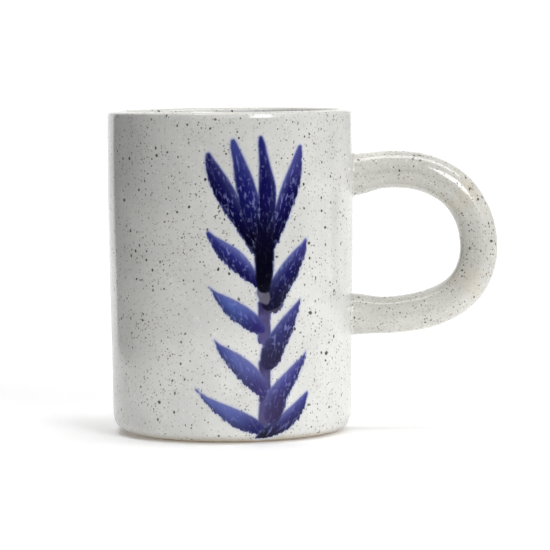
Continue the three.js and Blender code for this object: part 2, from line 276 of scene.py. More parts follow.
def glaze_look(n, warm=0.0, rim=False, fewer=1.0, painted_shade_dim=1.0, tint=None):
    """Off-white speckled stoneware glaze: (colour, roughness, height in mm, position)."""
    geo = n.add("ShaderNodeTexCoord")
    pos = geo.outputs["Object"]
    # painted_shade_dim scales the whole glaze colour down: below 1 it is painted shade.
    base = n.mix(n.noise(pos, 55.0, 4.0, 0.6, 0.32, 0.70), rgb(0.682 * painted_shade_dim, 0.686 * painted_shade_dim, 0.662 * painted_shade_dim), rgb(0.772 * painted_shade_dim, 0.771 * painted_shade_dim, 0.746 * painted_shade_dim))
    base = n.mix(n.math("MULTIPLY", n.noise(pos, 420.0, 4.0, 0.65, 0.50, 0.78), 0.35), base, rgb(0.82 * painted_shade_dim, 0.82 * painted_shade_dim, 0.79 * painted_shade_dim))
    tan = n.math("MULTIPLY", n.noise(pos, 75.0, 3.0, 0.6, 0.52, 0.80), 0.10 + warm)
    base = n.mix(tan, base, rgb(0.64, 0.585, 0.475))
    if tint:
        base = n.mix(1.0, base, rgb(*tint), "MULTIPLY")
    # Clusters: the clay's iron is uneven, so some areas hold more grains.
    crowd = n.noise(pos, 60.0, 3.0, 0.6, 0.36, 0.66)
    crowd = n.math("MULTIPLY", crowd, n.math("MULTIPLY_ADD", n.noise(pos, 150.0, 2.0, 0.6, 0.40, 0.62), 1.5, 0.30))
    # Faint, deep grains first, dark ones at the surface last.
    m6, _ = specks(n, pos, 1.1, 0.12, 0.36, 0.34 * fewer, 0.12, 31)
    base = n.mix(n.math("MULTIPLY", m6, 0.55), base, rgb(0.90, 0.90, 0.87))
    m1, k1 = specks(n, pos, 0.95, 0.12, 0.34, 0.42 * fewer, 0.14, 3)
    base = n.mix(n.math("MULTIPLY", m1, 0.44), base, rgb(0.38, 0.34, 0.270))
    m5, _ = specks(n, pos, 1.5, 0.16, 0.52, 0.34 * fewer, 0.24, 17)
    base = n.mix(n.math("MULTIPLY", m5, 0.32), base, rgb(0.47, 0.41, 0.31))
    m2, k2 = specks(n, pos, 1.05, 0.13, 0.30, n.math("MULTIPLY_ADD", crowd, 0.55 * fewer, 0.20 * fewer), 0.09, 7)
    dark2 = n.mix(k2, rgb(0.045, 0.040, 0.036), rgb(0.25, 0.205, 0.145))
    base = n.mix(n.math("MULTIPLY", m2, 0.84), base, dark2)
    m3, k3 = specks(n, pos, 1.7, 0.18, 0.44, n.math("MULTIPLY_ADD", crowd, 0.42 * fewer, 0.15 * fewer), 0.11, 11, (1.0, 1.0, 0.8))
    dark3 = n.mix(n.math("POWER", k3, 2.2), rgb(0.027, 0.025, 0.024), rgb(0.20, 0.160, 0.110))
    base = n.mix(n.math("MULTIPLY", m3, 0.94), base, dark3)
    m4, k4 = specks(n, pos, 4.2, 0.28, 0.66, 0.07 * fewer, 0.13, 23, (0.8, 0.8, 1.0))
    base = n.mix(n.math("MULTIPLY", m4, 0.93), base, rgb(0.033, 0.028, 0.024))
    if rim:
        sep = n.add("ShaderNodeSeparateXYZ")
        n.put(sep.inputs[0], pos)
        edge = n.math("MULTIPLY", n.ramp(sep.outputs["Z"], 0.1022, 0.10292), n.noise(pos, 130.0, 3.0, 0.6, 0.25, 0.72))
        base = n.mix(n.math("MULTIPLY", edge, 0.45), base, rgb(0.62, 0.56, 0.43))
        low = n.math("MULTIPLY", n.ramp(sep.outputs["Z"], 0.0030, 0.0010), 0.55)
        base = n.mix(low, base, rgb(0.50, 0.43, 0.32))
    pit = n.math("MULTIPLY", n.math("MAXIMUM", m3, m4), -0.018)
    wave = n.math("MULTIPLY", n.math("SUBTRACT", n.noise(pos, 120.0, 2.0, 0.5), 0.5), 0.045)
    peel = n.math("MULTIPLY", n.math("SUBTRACT", n.noise(pos, 700.0, 2.0, 0.5), 0.5), 0.0050)
    height = n.math("ADD", n.math("ADD", wave, peel), pit)
    rough = n.math("MULTIPLY_ADD", n.noise(pos, 160.0, 4.0, 0.6, 0.3, 0.75), 0.05, 0.085)
    rough = n.math("MULTIPLY_ADD", n.math("MAXIMUM", m3, m4), 0.16, rough)
    return base, rough, height, pos


def bump(n, height, strength=1.0):
    b = n.add("ShaderNodeBump")
    n.put(b.inputs["Strength"], strength)
    n.put(b.inputs["Distance"], MM)
    n.put(b.inputs["Height"], height)
    return b.outputs["Normal"]


def glaze_material(name, warm=0.0, rim=False, fewer=1.0, painted_shade_dim=1.0, tint=None):
    m, n, bsdf = new_material(name)
    colour, rough, height, _ = glaze_look(n, warm, rim, fewer, painted_shade_dim, tint)
    n.put(bsdf.inputs["Base Color"], colour)
    n.put(bsdf.inputs["Roughness"], rough)
    n.put(bsdf.inputs["Normal"], bump(n, height))
    bsdf.inputs["IOR"].default_value = 1.52
    return m


def clay_material(name):
    m, n, bsdf = new_material(name)
    pos = n.add("ShaderNodeTexCoord").outputs["Object"]
    base = n.mix(n.noise(pos, 260.0, 5.0, 0.65, 0.3, 0.7), rgb(0.47, 0.375, 0.265), rgb(0.60, 0.50, 0.375))
    base = n.mix(n.math("MULTIPLY", n.noise(pos, 60.0, 3.0, 0.6, 0.45, 0.75), 0.5), base, rgb(0.40, 0.30, 0.205))
    m1, k1 = specks(n, pos, 0.9, 0.08, 0.26, 0.5, 0.05, 2)
    base = n.mix(n.math("MULTIPLY", m1, 0.8), base, n.mix(k1, rgb(0.05, 0.035, 0.025), rgb(0.30, 0.20, 0.12)))
    grain = n.math("MULTIPLY", n.math("SUBTRACT", n.noise(pos, 1900.0, 4.0, 0.7), 0.5), 0.075)
    grain = n.math("ADD", grain, n.math("MULTIPLY", m1, 0.03))
    n.put(bsdf.inputs["Base Color"], base)
    n.put(bsdf.inputs["Roughness"], n.math("MULTIPLY_ADD", n.noise(pos, 900.0, 3.0, 0.6), 0.2, 0.68))
    n.put(bsdf.inputs["Normal"], bump(n, grain))
    return m


wall_glaze_m = glaze_material("wall_glaze_speckled", 0.0, True, 1.4)
liner_glaze_m = glaze_material("liner_glaze_speckled", 0.04, True, 1.15)
# The handle's coat is the wall's glaze darkened by painted_shade_dim 0.89, which is painted shade for the dimmer light
# on the handle; its warmer tint and extra grains are the glaze's own colour.
handle_glaze_m = glaze_material("handle_glaze_speckled", 0.46, False, 2.6, 0.89, (1.0, 0.985, 0.95))
base_glaze_m = glaze_material("base_glaze_speckled", 0.25, False, 1.3)
clay_m = clay_material("bare_clay")


def finish_piece(o, material, slot, *nodes):
    o.data.materials.append(material)
    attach(o, "root")
    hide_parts(*nodes)
    return o


# ------------------------------------------------------------------ turned pieces
def wall_surface(turn, up, lift=0.0):
    """A point on the glazed outside. up is the height, and below the heel's top the arc length goes on under it."""
    up = np.asarray(up, float)
    a = (HEEL_R - up) / HEEL_R
    low = up < HEEL_R
    r = np.where(low, HEEL_AT + (HEEL_R + lift) * np.cos(a), along(WALL, np.maximum(up, HEEL_R)) + lift)
    z = np.where(low, HEEL_R - (HEEL_R + lift) * np.sin(a), up)
    r = r + wobble(turn, z)
    return r, z


SEG = 256
stop = GLAZE_STOP
roll = 0.26  # the glaze ends in a soft rolled edge
outer = []
# rolled edge, from the clay out to the face of the coat
for a in np.radians(np.linspace(-90, 60, 7)):
    t = math.radians(stop) + roll * math.cos(a) * 0.9 / HEEL_R - 0.02
    d = -GLAZE / 2 + (GLAZE / 2 + 0.02) * math.sin(a)
    outer.append((HEEL_AT + (HEEL_R + d) * math.cos(t), HEEL_R - (HEEL_R + d) * math.sin(t), 1.0))
outer += [(HEEL_AT + HEEL_R * math.cos(a), HEEL_R - HEEL_R * math.sin(a), 1.0) for a in np.radians(np.linspace(stop - 4, 0, 16))]
# The lip is wiped slightly flat on its outer face, a millimetre high, and rounds over above that.
FLAT_Z = LIP_Z
outer += [(float(along(WALL, z)), z, 1.0) for z in np.linspace(HEEL_R, FLAT_Z, 62)[1:]]
lip = [(float(along(WALL, FLAT_Z)), FLAT_Z)]
for a0, a1, length, steps in ((0, 12, 0.105, 3), (12, 19, 1.0, 10), (19, 45, 0.211, 5), (45, 90, 1.623, 12)):
    for k in range(steps):
        a = math.radians(a0 + (a1 - a0) * (k + 0.5) / steps)
        lip.append((lip[-1][0] - math.sin(a) * length / steps, lip[-1][1] + math.cos(a) * length / steps))
miss_r, miss_z = LIP_AT - lip[-1][0], HEIGHT - lip[-1][1]
outer += [(r + miss_r * k / (len(lip) - 1), z + miss_z * k / (len(lip) - 1), 1.0) for k, (r, z) in enumerate(lip)][1:]
inner = [(LIP_AT, LIP_Z + LIP_R - GLAZE, 1.0)] + arc_rows(LIP_AT, LIP_Z, LIP_R - GLAZE, 90, 0, 7)[1:]
inner += [(float(along(WALL, z)) - GLAZE, z, 1.0) for z in np.linspace(LIP_Z, HEEL_R, 18)[1:]]
inner += [(HEEL_AT + (HEEL_R - GLAZE) * math.cos(a), HEEL_R - (HEEL_R - GLAZE) * math.sin(a), 1.0) for a in np.radians(np.linspace(0, stop, 8))[1:-1]]
wall_coat = lathe("wall_glaze_coat", outer + inner, SEG, wobble)
finish_piece(wall_coat, wall_glaze_m, "glaze", "wall_glaze")

# Inside coat: floor, fillet, wall and the inner half of the lip, then back under it.
top = [(0.0, FLOOR_Z, 0.0)] + [(r, FLOOR_Z + 0.10 * (1 - math.cos(math.pi * r / 26.7)) / 2 * 0.0 + 0.12 * math.exp(-((r - 6) / 5) ** 2) * 0.4, 0.3) for r in np.linspace(0, LINER[0][1] - LINER_FILLET, 12)[1:]]
fil = []
for a in np.radians(np.linspace(90, 0, 13))[1:]:
    fil.append((LINER[0][1] - LINER_FILLET + LINER_FILLET * math.cos(a), FLOOR_Z + LINER_FILLET - LINER_FILLET * math.sin(a), 1.0))
inwall = [(float(along(LINER, z)), z, 1.0) for z in np.linspace(LINER[0][0], LIP_Z, 48)[1:]]
inlip = arc_rows(LIP_AT, LIP_Z, LIP_R, 180, 90, 17)[1:]
back = [(LIP_AT, LIP_Z + LIP_R - GLAZE, 1.0)] + arc_rows(LIP_AT, LIP_Z, LIP_R - GLAZE, 90, 180, 7)[1:]
back += [(float(along(LINER, z)) + GLAZE, z, 1.0) for z in np.linspace(LIP_Z, LINER[0][0], 14)[1:]]
for a in np.radians(np.linspace(0, 90, 8))[1:]:
    back.append((LINER[0][1] - LINER_FILLET + (LINER_FILLET + GLAZE) * math.cos(a), FLOOR_Z + LINER_FILLET - (LINER_FILLET + GLAZE) * math.sin(a), 1.0))
back += [(r, FLOOR_Z - GLAZE, 0.0) for r in np.linspace(LINER[0][1] - LINER_FILLET, 0, 5)[1:-1]] + [(0.0, FLOOR_Z - GLAZE, 0.0)]
liner_rows = (top + fil + inwall + inlip + back)[::-1]
liner_coat = lathe("liner_glaze_coat", liner_rows, SEG, lambda t, u: wobble(t + 0.7, u) * 0.8 if u[0] < 101 else wobble(t, u) * np.clip((u - 101) / 1.9, 0, 1) + wobble(t + 0.7, u) * 0.8 * (1 - np.clip((u - 101) / 1.9, 0, 1)))
finish_piece(liner_coat, liner_glaze_m, "glaze", "liner_glaze")

# Bare clay cup inside the coats, with the worn foot ring that shows.
d = GLAZE + BOND
clay = [(0.0, RECESS_Z, 0.0)] + [(r, RECESS_Z, 0.0) for r in np.linspace(0, FOOT_R_IN - 1.1, 6)[1:]]
clay += [(FOOT_R_IN - 0.72, RECESS_Z - 0.08, 0.0), (FOOT_R_IN - 0.45, RECESS_Z - 0.35, 0.0), (FOOT_R_IN - 0.12, 0.26, 0.0), (FOOT_R_IN + 0.10, 0.07, 0.0), (FOOT_R_IN + 0.42, 0.0, 0.0)]
clay += [((FOOT_R_IN + FOOT_R_OUT) / 2, 0.0, 0.0), (FOOT_R_OUT - 0.40, 0.0, 0.0), (FOOT_R_OUT + 0.05, 0.06, 0.0)]
clay += [(FOOT_R_OUT + 0.6, 0.16, 0.2), (FOOT_R_OUT + 1.6, 0.36, 0.4)]
clay += [(HEEL_AT + (HEEL_R - d) * math.cos(a), HEEL_R - (HEEL_R - d) * math.sin(a), 1.0) for a in np.radians(np.linspace(GLAZE_STOP + 6, 0, 14))]
clay += [(float(along(WALL, z)) - d, z, 1.0) for z in np.linspace(HEEL_R, LIP_Z, 16)[1:]]
clay += arc_rows(LIP_AT, LIP_Z, LIP_R - d, 0, 180, 13)[1:]
clay += [(float(along(LINER, z)) + d, z, 1.0) for z in np.linspace(LIP_Z, LINER[0][0], 12)[1:]]
for a in np.radians(np.linspace(0, 90, 8))[1:]:
    clay.append((LINER[0][1] - LINER_FILLET + (LINER_FILLET + d) * math.cos(a), FLOOR_Z + LINER_FILLET - (LINER_FILLET + d) * math.sin(a), 0.0))
clay.append((0.0, FLOOR_Z - d, 0.0))
cup = lathe("clay_cup", clay, SEG, wobble, sharp_angle=50)
finish_piece(cup, clay_m, "clay", "cup_body")

# Glazed disc in the recess: a shallow pool with a rounded rim.
base_rows = [(0.0, BASE_GLAZE_Z, 0.0)] + [(r, BASE_GLAZE_Z + 0.05 * (1 - (r / 27) ** 2) * math.cos(r * 0.35), 0.0) for r in np.linspace(0, 26.8, 12)[1:]]
base_rows += [(27.35, 0.72, 0.0), (27.72, 0.80, 0.0), (27.86, 0.92, 0.0), (27.80, RECESS_Z - BOND, 0.0), (14.0, RECESS_Z - BOND, 0.0), (0.0, RECESS_Z - BOND, 0.0)]
base_coat = lathe("base_glaze_disc", base_rows, 192, None)
finish_piece(base_coat, base_glaze_m, "glaze", "base_glaze")


# ------------------------------------------------------------------ handle
def catmull(points, per=24):
    """Centripetal Catmull-Rom through the points."""
    p = np.vstack([2 * points[0] - points[1], points, 2 * points[-1] - points[-2]])
    out = []
    for i in range(1, len(p) - 2):
        p0, p1, p2, p3 = p[i - 1:i + 3]
        t1 = np.linalg.norm(p1 - p0) ** 0.5
        t2 = t1 + np.linalg.norm(p2 - p1) ** 0.5
        t3 = t2 + np.linalg.norm(p3 - p2) ** 0.5
        for t in np.linspace(t1, t2, per, endpoint=False):
            a1 = (t1 - t) / t1 * p0 + t / t1 * p1
            a2 = (t2 - t) / (t2 - t1) * p1 + (t - t1) / (t2 - t1) * p2
            a3 = (t3 - t) / (t3 - t2) * p2 + (t - t2) / (t3 - t2) * p3
            b1 = (t2 - t) / t2 * a1 + t / t2 * a2
            b2 = (t3 - t) / (t3 - t1) * a2 + (t - t1) / (t3 - t1) * a3
            out.append((t2 - t) / (t2 - t1) * b1 + (t - t1) / (t2 - t1) * b2)
    out.append(p[-2])
    return np.array(out)


line = catmull(HANDLE_LINE)
for _ in range(14):  # even out the curvature between the measured points
    line[1:-1] = 0.25 * line[:-2] + 0.5 * line[1:-1] + 0.25 * line[2:]
# Straight on into the wall at both ends.
a_dir = line[0] - line[3]
b_dir = line[-1] - line[-4]
line = np.vstack([line[0] + a_dir / np.linalg.norm(a_dir) * 7, line, line[-1] + b_dir / np.linalg.norm(b_dir) * 7])
arc = np.concatenate([[0], np.cumsum(np.linalg.norm(np.diff(line, axis=0), axis=1))])
LENGTH = arc[-1]
grid_s = np.linspace(0, LENGTH, 900)
cx, cz = np.interp(grid_s, arc, line[:, 0]), np.interp(grid_s, arc, line[:, 1])
tx, tz = np.gradient(cx, grid_s), np.gradient(cz, grid_s)
k = np.hypot(tx, tz)
tx, tz = tx / k, tz / k


def handle_point(s, phi):
    """A point on the coil's glazed surface. phi 0 is the outer side of the loop, 90 degrees is -Y."""
    x, z = np.interp(s, grid_s, cx), np.interp(s, grid_s, cz)
    ux, uz = np.interp(s, grid_s, tx), np.interp(s, grid_s, tz)
    nx, nz = -uz, ux  # to the outside of the loop
    reach = np.clip((x - HANDLE_LINE[0, 0]) / FLARE_LENGTH, 0, 1)
    grow = 1 + HANDLE_FLARE * (1 - reach) ** 2
    hand = 1 + 0.010 * np.sin(0.11 * s + 1.3 * np.cos(phi)) + 0.007 * np.sin(0.23 * s + 2 * phi) + 0.004 * np.sin(0.51 * s - phi)
    a = HANDLE_A * grow * hand * np.cos(phi)
    b = HANDLE_B * grow * hand * np.sin(phi)
    return x + nx * a, -b, z + nz * a


def gap_to_wall(s, phi, depth):
    x, y, z = handle_point(s, phi)
    turn = np.arctan2(x, -y)
    return np.hypot(x, y) - (along(WALL, z) + wobble(turn, z)) + depth


def meet(phi, depth, upper):
    """Where along the coil its surface reaches the wall, depth below the glaze."""
    lo = np.full(phi.shape, 0.0 if upper else LENGTH)
    hi = np.full(phi.shape, 22.0 if upper else LENGTH - 22.0)
    for _ in range(50):
        mid = (lo + hi) / 2
        inside = gap_to_wall(mid, phi, depth) < 0
        lo, hi = np.where(inside, mid, lo), np.where(inside, hi, mid)
    return (lo + hi) / 2


SIDES, STEPS = 72, 200
phi = np.arange(SIDES) * 2 * np.pi / SIDES
SINK = 0.15
s_a, s_b = meet(phi, SINK, True), meet(phi, SINK, False)
u = np.linspace(0, 1, STEPS + 1)
verts, rings = [], []
for q in u:
    s = (1 - q) * s_a + q * s_b
    x, y, z = handle_point(s, phi)
    rings.append(len(verts))
    verts.extend(zip(x, y, z))
faces, uvs = [], []
for i in range(STEPS):
    for j in range(SIDES):
        m = (j + 1) % SIDES
        faces.append((rings[i] + m, rings[i + 1] + m, rings[i + 1] + j, rings[i] + j))
        half = 0 if i < STEPS // 2 else 1
        ua, ub = (i / STEPS * 2 - half) * 0.97 + 0.01, ((i + 1) / STEPS * 2 - half) * 0.97 + 0.01
        va, vb = (j / SIDES) * 0.48 + 0.005 + half * 0.5, ((j + 1) / SIDES) * 0.48 + 0.005 + half * 0.5
        uvs += [(ua, vb), (ub, vb), (ub, va), (ua, va)]
for ring, flip in ((rings[0], True), (rings[-1], False)):
    pts = np.array(verts[ring:ring + SIDES])
    c = pts.mean(0)
    r_wall = float(along(WALL, c[2])) - SINK - 0.05
    centre = len(verts)
    verts.append((r_wall, 0.0, c[2]))
    for j in range(SIDES):
        m = (j + 1) % SIDES
        faces.append((centre, ring + m, ring + j) if flip else (centre, ring + j, ring + m))
        uvs += [(0.985, 0.02), (0.99, 0.02), (0.99, 0.03)]
handle_coat = make("handle_glaze_coat", verts, faces, True, 50)
uv_map(handle_coat, uvs)
finish_piece(handle_coat, handle_glaze_m, "glaze", "handle_glaze", "handle")


def weld_bead(name, upper, reach_h, reach_w, node):
    """The slip and glaze that fill the corner between the coil and the wall: a closed ring with a hollow face."""
    nphi = 96
    ph = np.arange(nphi) * 2 * np.pi / nphi
    ph_var = 1 + 0.16 * np.sin(2 * ph + 0.7) + 0.10 * np.sin(5 * ph + 1.9)
    sign = 1 if upper else -1
    s0 = meet(ph, 0.0, upper)
    J = np.stack(handle_point(s0, ph), -1)
    H = np.stack(handle_point(s0 + sign * reach_h * ph_var, ph), -1)
    # away from the coil, over the wall
    centre = J.mean(0)
    turn0, up0 = np.arctan2(J[:, 0], -J[:, 1]), J[:, 2]
    flat = np.stack([(turn0 - np.arctan2(centre[0], -centre[1])) * 39.2, up0 - centre[2]], -1)
    out = flat / np.linalg.norm(flat, axis=1)[:, None]
    flat2 = flat + out * (reach_w * ph_var)[:, None]
    t2 = flat2[:, 0] / 39.2 + np.arctan2(centre[0], -centre[1])
    up2 = flat2[:, 1] + centre[2]
    r2 = along(WALL, up2) + wobble(t2, up2)
    W = np.stack([r2 * np.sin(t2), -r2 * np.cos(t2), up2], -1)
    # a corner below both surfaces
    deep_w = W * 1.0
    deep_w[:, :2] *= ((r2 - 0.16) / r2)[:, None]
    inward = J - np.stack([J[:, 0], np.zeros(nphi), np.full(nphi, centre[2])], -1)
    core = J - inward / np.linalg.norm(inward, axis=1)[:, None] * 0.22
    rc = np.hypot(core[:, 0], core[:, 1])
    core[:, :2] *= ((rc - 0.18) / rc)[:, None]
    inward_h = H - np.stack([H[:, 0], np.zeros(nphi), H[:, 2] * 0 + centre[2]], -1)
    deep_h = H - inward_h / np.linalg.norm(inward_h, axis=1)[:, None] * 0.16
    n_arc = 9
    loops = []
    for q in np.linspace(0, 1, n_arc):
        loops.append((1 - q) ** 2 * H + 2 * q * (1 - q) * J + q * q * W)
    loops += [deep_w, core, deep_h]
    L = len(loops)
    v = np.concatenate(loops)
    f, uv = [], []
    for i in range(L):
        for j in range(nphi):
            k2, m2 = (i + 1) % L, (j + 1) % nphi
            quad = (i * nphi + j, i * nphi + m2, k2 * nphi + m2, k2 * nphi + j)
            f.append(quad if upper else quad[::-1])
            u0, u1 = j / nphi * 0.98 + 0.01, (j + 1) / nphi * 0.98 + 0.01
            w0, w1 = i / L * 0.98 + 0.01, (i + 1) / L * 0.98 + 0.01
            c = [(u0, w0), (u1, w0), (u1, w1), (u0, w1)]
            uv += c if upper else c[::-1]
    o = make(name, v, f, True, 60)
    uv_map(o, uv)
    # the ring's faces have to point out whichever end it is
    import bmesh
    bm = bmesh.new()
    bm.from_mesh(o.data)
    bmesh.ops.recalc_face_normals(bm, faces=bm.faces)
    bm.to_mesh(o.data)
    bm.free()
    return finish_piece(o, handle_glaze_m, "glaze", node)


weld_bead("upper_root_bead", True, 1.25, 1.05, "upper_handle_weld")
weld_bead("lower_root_bead", False, 0.80, 0.70, "lower_handle_weld")


# ------------------------------------------------------------------ painted sprig
def spline(points, n):
    """Even samples of a smooth curve through rows of numbers."""
    p = np.asarray(points, float)
    seg = np.concatenate([[0], np.cumsum(np.linalg.norm(np.diff(p[:, :2], axis=0), axis=1))])
    t = np.linspace(0, seg[-1], n)
    return np.stack([along(np.column_stack([seg, p[:, c]]), t) for c in range(p.shape[1])], -1), seg[-1]


# Each stroke of the brush on the unrolled wall: rows of (across, up, half width) from its tip to where the brush
# was lifted; the pigment's colour at the tip, half way and at the end; how opaque it lies; how it catches light.
NAVY, INK, DEEP, BLUE, PALE, SLATE, GREY = (
    (0.0105, 0.0080, 0.0580), (0.0042, 0.0040, 0.0180), (0.0160, 0.0150, 0.0900), (0.0470, 0.0500, 0.2150),
    (0.1350, 0.1550, 0.4150), (0.0430, 0.0330, 0.1150), (0.0960, 0.0900, 0.1950))
STROKES = [
    # stem between the leaves, thin and greyed
    dict(w=[(10.2, 43.5, 2.15), (10.1, 38.0, 2.05), (10.2, 33.0, 2.3)], c=(SLATE, (0.085, 0.072, 0.185), (0.090, 0.080, 0.215)), o=0.95, g=0.25),
    dict(w=[(10.1, 25.0, 2.1), (10.1, 20.0, 1.95), (10.2, 14.0, 2.1)], c=(SLATE, (0.080, 0.068, 0.190), SLATE), o=0.95, g=0.25),
    dict(w=[(10.2, 12.0, 2.1), (9.6, 6.0, 1.95), (9.2, 3.0, 1.6)], c=((0.085, 0.072, 0.20), (0.090, 0.080, 0.20), SLATE), o=0.9, g=0.2),
    # leaves on the left, upwards from the lowest
    dict(w=[(-11.6, 17.4, 0.20), (-8.9, 14.8, 0.75), (-5.6, 12.4, 1.55), (-1.8, 10.0, 2.35), (2.2, 7.8, 2.75), (6.0, 5.9, 2.6), (9.2, 4.4, 1.7)],
         c=((0.130, 0.170, 0.420), (0.098, 0.132, 0.400), (0.014, 0.011, 0.125)), o=0.97, g=0.6, u=0.8),
    dict(w=[(-5.5, 32.6, 0.25), (-4.0, 30.6, 0.95), (-1.4, 28.0, 2.05), (1.6, 25.3, 2.8), (4.6, 22.4, 3.2), (7.4, 19.4, 3.0), (9.6, 16.6, 2.1)],
         c=((0.045, 0.070, 0.280), (0.098, 0.128, 0.390), (0.040, 0.030, 0.160)), o=0.97, g=0.8, u=0.9),
    dict(w=[(-7.0, 49.2, 0.18), (-5.2, 47.2, 0.75), (-2.6, 44.9, 1.80), (0.6, 42.3, 2.75), (3.9, 39.8, 3.1), (6.8, 37.7, 2.75), (8.9, 36.1, 1.7)],
         c=((0.075, 0.095, 0.300), (0.085, 0.132, 0.420), (0.022, 0.018, 0.160)), o=0.97, g=0.9, u=1.0),
    dict(w=[(-7.0, 65.9, 0.65), (-5.3, 63.7, 1.35), (-2.6, 61.0, 2.40), (0.6, 58.2, 3.0), (3.6, 55.2, 2.75), (6.2, 52.2, 2.0), (8.1, 49.5, 1.0)],
         c=((0.034, 0.044, 0.240), (0.026, 0.028, 0.205), (0.011, 0.009, 0.090)), o=1.0, g=1.0, u=1.2),
    # leaves on the right: each runs on down as a piece of the stem and ends blunt
    dict(w=[(24.8, 15.4, 0.40), (23.6, 13.4, 1.30), (21.4, 10.8, 2.15), (18.4, 8.0, 2.65), (14.8, 5.5, 2.75), (11.4, 3.6, 2.35), (8.4, 1.9, 1.15)],
         c=((0.045, 0.050, 0.270), (0.030, 0.026, 0.155), (0.0045, 0.0032, 0.020)), o=1.0, g=0.6, u=1.0),
    dict(w=[(24.5, 28.2, 0.18), (23.5, 26.4, 0.75), (21.3, 23.6, 1.7), (18.8, 20.6, 2.4), (16.2, 17.6, 2.95), (13.9, 14.2, 3.55), (12.9, 11.0, 3.6), (12.4, 9.0, 2.9)],
         c=((0.050, 0.040, 0.215), (0.046, 0.042, 0.230), (0.036, 0.024, 0.105)), o=1.0, g=0.9, u=0.9),
    dict(w=[(22.4, 44.7, 0.22), (21.3, 42.8, 0.90), (19.6, 40.0, 1.85), (17.6, 37.0, 2.65), (15.4, 33.6, 3.2), (13.2, 30.2, 3.6), (12.1, 27.4, 3.45), (11.4, 25.6, 2.7)],
         c=((0.056, 0.058, 0.260), (0.024, 0.024, 0.150), (0.012, 0.009, 0.055)), o=1.0, g=1.0, u=0.7),
    dict(w=[(11.4, 42.0, 1.3), (13.6, 42.3, 1.6), (15.6, 43.3, 0.9)], c=((0.075, 0.068, 0.105), (0.055, 0.050, 0.078), (0.070, 0.066, 0.090)), o=0.85, g=0.15),
    dict(w=[(24.7, 63.0, 0.60), (23.8, 61.1, 1.20), (22.2, 58.6, 2.3), (19.8, 55.3, 3.1), (17.5, 52.0, 3.5), (15.2, 48.7, 3.6), (13.3, 45.6, 3.5), (11.9, 44.3, 3.0)],
         c=((0.050, 0.044, 0.270), (0.011, 0.0095, 0.115), (0.0050, 0.0036, 0.032)), o=1.0, g=1.0, u=1.0),
    # the flower: four petals that run together into a dark neck
    dict(w=[(9.6, 47.2, 2.0), (10.3, 45.6, 1.9), (10.9, 44.4, 1.1)], c=((0.17, 0.165, 0.205), (0.15, 0.145, 0.185), (0.17, 0.165, 0.21)), o=0.85, g=0.1),
    dict(w=[(22.9, 91.8, 0.90), (22.3, 89.3, 1.55), (21.5, 86.2, 2.15), (20.5, 83.0, 2.7), (19.2, 79.2, 3.15), (17.4, 74.6, 2.95), (15.5, 70.0, 2.75), (13.5, 65.0, 2.4), (11.4, 60.5, 1.9)],
         c=((0.070, 0.070, 0.290), (0.0105, 0.0085, 0.105), (0.0035, 0.0026, 0.020)), o=1.0, g=1.0, u=0.75),
    dict(w=[(-6.7, 89.9, 0.95), (-6.1, 87.6, 1.70), (-4.6, 84.0, 2.6), (-2.4, 79.5, 3.2), (0.4, 74.5, 3.1), (3.2, 69.5, 2.75), (5.6, 64.8, 2.2), (7.6, 60.5, 1.7)],
         c=((0.018, 0.018, 0.120), (0.0068, 0.0060, 0.085), (0.0030, 0.0024, 0.015)), o=1.0, g=0.9, u=0.75),
    dict(w=[(1.0, 94.0, 0.90), (1.5, 91.8, 1.45), (2.4, 89.0, 1.8), (3.2, 86.0, 2.3), (4.1, 82.5, 2.85), (5.2, 78.0, 3.25), (6.6, 72.0, 3.2), (8.2, 66.0, 2.8), (9.3, 61.0, 2.2)],
         c=((0.052, 0.066, 0.280), (0.0110, 0.0125, 0.140), (0.0030, 0.0024, 0.015)), o=1.0, g=0.8, u=0.45),
    dict(w=[(9.6, 95.0, 0.80), (9.9, 92.9, 1.30), (10.3, 90.0, 1.5), (10.7, 87.0, 1.85), (11.1, 83.5, 2.4), (11.5, 79.0, 3.0), (11.2, 73.0, 3.2), (10.7, 67.0, 3.0), (10.2, 61.0, 2.5)],
         c=((0.022, 0.024, 0.165), (0.0070, 0.0060, 0.090), (0.0030, 0.0024, 0.015)), o=1.0, g=1.0, u=0.45),
    dict(w=[(10.3, 64.0, 2.5), (10.4, 60.0, 3.2), (10.3, 56.0, 3.15), (10.2, 51.5, 2.85), (10.1, 49.2, 2.45)], c=((0.0032, 0.0026, 0.018), (0.0020, 0.0018, 0.0095), (0.0022, 0.0020, 0.0085)), o=1.0, g=0.03),
]

